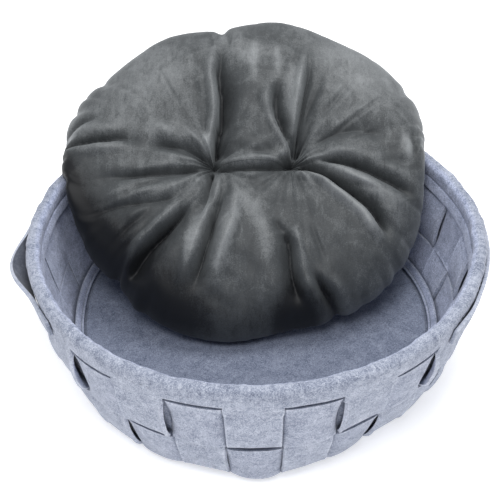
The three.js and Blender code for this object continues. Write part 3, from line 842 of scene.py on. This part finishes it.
# Pleats that run in from the edge seam, each with its own length and depth
def gather_height(angle, share, reach):
    total = np.zeros(np.broadcast_shapes(angle.shape, share.shape))
    inward = (1 - share) * reach
    for middle, size, length, wide in GATHER_LIST:
        aside = beside_spoke(angle, middle, reach * share)
        fade = np.clip(1 - inward / (length * GATHER_LENGTH), 0, 1) ** GATHER_FADE
        pleat = np.exp(-(np.abs(aside) / (wide * GATHER_WIDTH)) ** GATHER_POWER)
        total -= size * GATHER_DEPTH * fade * pleat
    return total


# Points of one face of the cushion on spokes and rings, and the painted light and shade there
def cushion_face(shares, is_upper):
    angle = np.arange(SPOKES) * TAU / SPOKES
    reach = outline_radius(angle)
    start = TUFT_SPACING * np.clip(TUFT_FAN * np.cos(angle), -1, 1)
    share = np.asarray(shares)[:, None]
    x = start + (reach * np.cos(angle) - start) * share
    y = reach * np.sin(angle) * share
    swell = np.sqrt(np.maximum(0, 1 - share ** EDGE_POWER)) + 0 * x
    gathers = gather_height(angle, share, reach)
    under = -UNDERSIDE * swell + tuft_dip(x, y, UNDER_TUFT_DEPTH, TUFT_REACH)
    lift = rim_lift(to_world(np.stack([x, y, under], -1)))
    calm = np.clip(swell * RELIEF_RISE, 0, 1)
    if not is_upper:
        points = to_world(np.stack([x, y, under - gathers * calm], -1))
        points[..., 2] += lift
        return points, UNDER_PAINTED_SHADING + GATHER_PAINTED_SHADE * gathers
    folds, painted_shading = fold_shape(x, y)
    plan = np.stack([x, y], -1)
    lumps = sum(size * ripples(plan, length, seed) for size, length, seed in LUMPS)
    dip = tuft_dip(x, y, TUFT_DEPTH, TUFT_REACH) + tuft_dip(x, y, PIT_DEPTH, PIT_REACH)
    creases = tuft_creases(x, y) + wrinkle_height(x, y)
    over = CROWN * swell - dip + (folds + creases + lumps + gathers) * calm
    points = to_world(np.stack([x, y, over], -1))
    at_edge = share ** LIFT_EDGE_POWER
    points[..., 2] += (smoothed(lift) * (1 - at_edge) + lift * at_edge) * (1 - LIFT_EASE * swell)
    painted_shading = painted_shading - tuft_dip(x, y, PIT_PAINTED_SHADE, PIT_REACH) + GATHER_PAINTED_SHADE * gathers + CREASE_PAINTED_SHADING * creases
    return points, PLAIN_PAINTED_SHADING + painted_shading


def make_cushion():
    upper = 1 - (1 - np.linspace(0, 1, UPPER_RINGS)) ** UPPER_CROWDING
    lower = 1 - (1 - np.linspace(1, 0, LOWER_RINGS + 1)[1:]) ** LOWER_CROWDING
    top, top_painted_shading = cushion_face(upper, True)
    under, under_painted_shading = cushion_face(lower, False)
    points = np.concatenate([top, under], 0)
    faces = [tuple(reversed(f)) for f in grid_faces(points.shape[0], SPOKES, wrap=True)]
    painted_shading = {"painted_shading": np.concatenate([top_painted_shading, under_painted_shading], 0)}
    cushion = new_piece("cushion_velvet", points, faces, "cushion", painted_shading)
    weld(cushion, 1e-5)
    return cushion


# Felt: noise for fibres, flecks and clouds (scale, detail, roughness, distortion) with their weights,
# and the colours from dark to light with their places in the shade
FELT_NOISES = (((420, 6, 0.72, 1.6), 0.5), ((900, 3, 0.6), 0.3), ((75, 4, 0.6, 0.6), 0.2))
FELT_COLOURS = ((0.13, 0.152, 0.215), (0.33, 0.362, 0.45), (0.56, 0.59, 0.67))
FELT_STOPS = (0.395, 0.5, 0.605)
# Felt near cut edges is painted lighter, a painted highlight on the cut edges
CUT_PAINTED_HIGHLIGHT = 0.05
# Streaks on the rolled rim: noise, slant, relief and shade; painted shade that darkens the felt towards
# the rim's top; and where the rim is below its top
STREAK_NOISE, STREAK_SLANT = (45, 3, 0.6), 0.9
STREAK_RELIEF, STREAK_SHADE, RIM_PAINTED_SHADE = 1.2, 0.16, -0.094
RIM_RANGE = ((RIM_HEIGHT - 14) * MM, (RIM_HEIGHT - 1) * MM)
# Painted light on the felt's inner face, a little lighter and bluer, and painted shade on the straps'
# inner face, darker
INNER_PAINTED_LIGHT = (1.22, 1.24, 1.34)
STRAP_INNER_PAINTED_SHADE = (0.28, 0.29, 0.31)
INWARD_RANGE = (0.04, 0.16)
# Painted shade between layers and in folds: how far it reaches in metres, the range of openness over
# which it fades from 1 to 0, and the tint deepest in
FOLD_REACH = 0.007
FOLD_RANGE = (0.25, 0.8, 1, 0)
FOLD_PAINTED_SHADE = (0.34, 0.37, 0.43)
NO_TINT = (1, 1, 1)

# Velvet: noise for the pile, its brushed streaks, crushed patches and dark flecks, and its colours
PILE_NOISE, PILE_WEIGHT = (800, 3, 0.6), 0.4
BRUSHED_NOISE, BRUSHED_WEIGHT = (110, 6, 0.65, 0.4), 0.3
GRAIN_MIDDLE = 0.35
PILE_STRETCH = (1, 0.3, 0.3)
CRUSHED_NOISE, CRUSHED_RANGE = (38, 5, 0.62, 1.4), (0.42, 0.6, -0.032, 0.034)
FLECK_NOISE, FLECK_RANGE = (330, 3, 0.6, 0.5), (0.33, 0.43, -0.06, 0)
# Sheen weight follows the painted light and shade, lower where shade is painted
SHEEN_RANGE = (0, 0.5, 0.06, 0.35)
VELVET_STOPS = (
    (0.1, (0.003, 0.0036, 0.005)), (0.5, (0.05, 0.055, 0.058)), (0.9, (0.23, 0.242, 0.248)),
)
THREAD_NOISE = (1500, 2, 0.5)
THREAD_STOPS = ((0.3, (0.3, 0.33, 0.41)), (0.7, (0.42, 0.45, 0.53)))


# Builds one material out of shader nodes
class Graph:
    def __init__(self, name):
        self.material = bpy.data.materials.new(name)
        self.material.use_nodes = True
        self.tree = self.material.node_tree
        self.shader = self.tree.nodes["Principled BSDF"]

    # Sets inputs of a node, each to a value or to the output of another node
    def feed(self, node, inputs):
        for label, value in inputs.items():
            if isinstance(value, bpy.types.NodeSocket):
                self.tree.links.new(value, node.inputs[label])
            else:
                node.inputs[label].default_value = value

    def add(self, kind, inputs, **settings):
        node = self.tree.nodes.new("ShaderNode" + kind)
        for label, value in settings.items():
            setattr(node, label, value)
        self.feed(node, inputs)
        return node

    def place(self):
        return self.add("TexCoord", {}).outputs["Object"]

    def stored(self, name):
        return self.add("Attribute", {}, attribute_name=name).outputs["Fac"]

    def noise(self, place, scale, detail, rough, distort=0.0):
        look = {"Scale": scale, "Detail": detail, "Roughness": rough, "Distortion": distort}
        return self.add("TexNoise", {"Vector": place, **look}).outputs["Fac"]

    def math(self, operation, a, b):
        return self.add("Math", {0: a, 1: b}, operation=operation).outputs[0]

    def weighted(self, *pairs):
        parts = [self.math("MULTIPLY", value, weight) for value, weight in pairs]
        total = parts[0]
        for part in parts[1:]:
            total = self.math("ADD", total, part)
        return total

    # Takes a value from one range to another and holds it at the ends
    def mapped(self, value, start, end, low=0, high=1, curve="LINEAR"):
        ends = {"From Min": start, "From Max": end, "To Min": low, "To Max": high}
        return self.add("MapRange", {"Value": value, **ends}, interpolation_type=curve).outputs[0]

    def ramp(self, value, stops):
        node = self.add("ValToRGB", {"Fac": value})
        elements = node.color_ramp.elements
        while len(elements) < len(stops):
            elements.new(0.5)
        for element, (place, colour) in zip(elements, stops):
            element.position = place
            element.color = (*colour, 1)
        return node.outputs["Color"]

    # A colour multiplied by a tint as far as a value says
    def tinted(self, colour, amount, tint):
        node = self.add("Mix", {"Factor": amount}, data_type="RGBA", blend_type="MULTIPLY")
        first, second = [socket for socket in node.inputs if socket.type == "RGBA"]
        self.tree.links.new(colour, first)
        second.default_value = (*tint, 1)
        return [socket for socket in node.outputs if socket.type == "RGBA"][0]

    def bump(self, height, strength, distance):
        inputs = {"Height": height, "Strength": strength, "Distance": distance}
        return self.add("Bump", inputs).outputs["Normal"]


# Streaks across the rolled rim, from noise stretched over the wall's turn and height, and the rim
def rim_streaks(graph, place):
    split = graph.add("SeparateXYZ", {0: place}).outputs
    turn = graph.math("ARCTAN2", split["X"], split["Y"])
    height = graph.math("MULTIPLY", split["Z"], STREAK_SLANT)
    spread = graph.add("CombineXYZ", {"X": turn, "Y": height}).outputs[0]
    near_rim = graph.mapped(split["Z"], *RIM_RANGE)
    return graph.math("MULTIPLY", graph.noise(spread, *STREAK_NOISE), near_rim), near_rim


# Where a face looks towards the basket's middle, 1, and elsewhere 0
def faces_inwards(graph, place):
    inwards = graph.add("VectorMath", {0: place, 1: (-1, -1, 0)}, operation="MULTIPLY").outputs[0]
    normal = graph.add("NewGeometry", {}).outputs["Normal"]
    facing = graph.add("VectorMath", {0: inwards, 1: normal}, operation="DOT_PRODUCT")
    return graph.mapped(facing.outputs["Value"], *INWARD_RANGE)


# From 0 in the open to 1 deep in a fold or between layers, where shade is painted
def painted_fold_shade(graph):
    openness = graph.add("AmbientOcclusion", {"Distance": FOLD_REACH}, samples=6).outputs["AO"]
    return graph.mapped(openness, *FOLD_RANGE)


def felt_material(name, tint, inner_painted_lighting, rim=False):
    graph = Graph(name)
    place = graph.place()
    relief = graph.weighted(*((graph.noise(place, *look), weight) for look, weight in FELT_NOISES))
    # Painted highlight near cut edges
    shade = graph.math("ADD", relief, graph.math("MULTIPLY", graph.stored("cut"), CUT_PAINTED_HIGHLIGHT))
    if rim:
        streaks, near_rim = rim_streaks(graph, place)
        relief = graph.math("ADD", relief, graph.math("MULTIPLY", streaks, STREAK_RELIEF))
        # Lighter streaks, and painted shade towards the rim's top
        rim_streaks_and_shade = graph.weighted((streaks, STREAK_SHADE), (near_rim, RIM_PAINTED_SHADE))
        shade = graph.math("ADD", shade, rim_streaks_and_shade)
    colours = [[c * t for c, t in zip(colour, tint)] for colour in FELT_COLOURS]
    colour = graph.ramp(shade, list(zip(FELT_STOPS, colours)))
    # Painted light on faces that look inwards, and on the straps painted shade there instead
    colour = graph.tinted(colour, faces_inwards(graph, place), inner_painted_lighting)
    # Painted shade in folds and between layers
    colour = graph.tinted(colour, painted_fold_shade(graph), FOLD_PAINTED_SHADE)
    graph.feed(graph.shader, {
        "Base Color": colour,
        "Roughness": 0.95,
        "Specular IOR Level": 0.2,
        "Sheen Weight": 0.18,
        "Sheen Roughness": 0.6,
        "Normal": graph.bump(relief, strength=0.5, distance=0.0014),
    })
    return graph.material


def velvet_material():
    graph = Graph("velvet")
    place = graph.place()
    # Painted light and shade of the velvet, stored on the mesh
    painted_shading = graph.stored("painted_shading")
    along_pile = graph.add("Mapping", {"Vector": place, "Scale": PILE_STRETCH}).outputs[0]
    pile = graph.noise(place, *PILE_NOISE)
    brushed = graph.noise(along_pile, *BRUSHED_NOISE)
    grain = graph.weighted((pile, PILE_WEIGHT), (brushed, BRUSHED_WEIGHT))
    shade = graph.math("ADD", painted_shading, graph.math("SUBTRACT", grain, GRAIN_MIDDLE))
    crushed = graph.noise(place, *CRUSHED_NOISE)
    shade = graph.math("ADD", shade, graph.mapped(crushed, *CRUSHED_RANGE, "SMOOTHSTEP"))
    flecks = graph.noise(along_pile, *FLECK_NOISE)
    shade = graph.math("ADD", shade, graph.mapped(flecks, *FLECK_RANGE, "SMOOTHSTEP"))
    graph.feed(graph.shader, {
        "Base Color": graph.ramp(shade, VELVET_STOPS),
        "Roughness": 0.55,
        "Specular IOR Level": 0.3,
        "Sheen Weight": graph.mapped(painted_shading, *SHEEN_RANGE),
        "Sheen Roughness": 0.5,
        "Sheen Tint": (0.62, 0.66, 0.68, 1),
        "Normal": graph.bump(grain, strength=0.3, distance=0.0008),
    })
    return graph.material


def thread_material():
    graph = Graph("thread")
    twist = graph.noise(graph.place(), *THREAD_NOISE)
    graph.feed(graph.shader, {"Base Color": graph.ramp(twist, THREAD_STOPS), "Roughness": 0.8})
    return graph.material


# Camera at the photograph's viewing angle, aimed at the rim's middle
CAMERA_ELEVATION, CAMERA_DISTANCE, CAMERA_ROLL = rad(38.7), 1.213, rad(-1.14)
# Each lamp: its place, what it is aimed at, its size in metres and its power
LAMPS = (
    ("key", (0.34, 0.35, 1.6), (0, 0, 0.1), 0.8, 12),
    ("front", (-0.15, -0.68, 1.5), (-0.03, 0, 0.05), 0.7, 10),
)


def make_camera():
    target = Vector((0, 0, RIM_HEIGHT * MM))
    back = Vector((0, -math.cos(CAMERA_ELEVATION), math.sin(CAMERA_ELEVATION)))
    data = bpy.data.cameras.new("camera")
    data.sensor_width = 36
    data.lens = 86.4
    data.shift_x = -0.0084
    data.shift_y = -0.0366
    data.clip_start = 0.05
    data.clip_end = 50
    camera = add_object("camera", data)
    camera.location = target + back * CAMERA_DISTANCE
    turn = (-back).to_track_quat("-Z", "Y").to_matrix() @ Matrix.Rotation(CAMERA_ROLL, 3, "Z")
    camera.rotation_euler = turn.to_euler()
    bpy.context.scene.camera = camera


def make_lamps():
    for name, place, aim, size, power in LAMPS:
        data = bpy.data.lights.new(name, "AREA")
        data.shape = "DISK"
        data.size = size
        data.energy = power
        lamp = add_object(name, data)
        lamp.location = place
        lamp.rotation_euler = (Vector(aim) - Vector(place)).to_track_quat("-Z", "Y").to_euler()


def make_stage():
    bpy.ops.mesh.primitive_plane_add(size=12, location=(0, 0, -0.0004))
    ground = bpy.context.object
    ground.name = "studio_floor"
    graph = Graph("studio_floor")
    graph.feed(graph.shader, {
        "Base Color": (0.93, 0.93, 0.935, 1),
        "Roughness": 0.9,
        "Emission Color": (1, 1, 1, 1),
        "Emission Strength": 0.45,
    })
    ground.data.materials.append(graph.material)
    world = bpy.context.scene.world or bpy.data.worlds.new("studio")
    bpy.context.scene.world = world
    world.use_nodes = True
    sky = world.node_tree.nodes["Background"]
    sky.inputs["Color"].default_value = (0.98, 0.99, 1.02, 1)
    sky.inputs["Strength"].default_value = 0.58
    make_lamps()
    bpy.context.scene.view_settings.view_transform = "Standard"


make_camera()
wall = make_wall()
band_upper = make_band(0, "band_upper")
band_lower = make_band(1, "band_lower")
floor = make_floor()
floor_edge = make_floor_edge()
straps = [make_strap(*row) for row in STRAPS]
stitches = make_stitches()
cushion = make_cushion()

felt_band = felt_material("felt_band", (0.97, 0.97, 0.98), INNER_PAINTED_LIGHT)
felt_strap = felt_material("felt_strap", NO_TINT, STRAP_INNER_PAINTED_SHADE)
wall.data.materials.append(felt_material("felt_wall", NO_TINT, INNER_PAINTED_LIGHT, rim=True))
# Floor felt and its edge strip painted darker and bluer: painted shade inside the basket
floor.data.materials.append(felt_material("felt_floor", (0.5, 0.525, 0.575), NO_TINT))
floor_edge.data.materials.append(felt_material("felt_edge", (0.86, 0.87, 0.9), INNER_PAINTED_LIGHT))
for piece in (band_upper, band_lower):
    piece.data.materials.append(felt_band)
for piece in straps:
    piece.data.materials.append(felt_strap)
stitches.data.materials.append(thread_material())
cushion.data.materials.append(velvet_material())
make_stage()
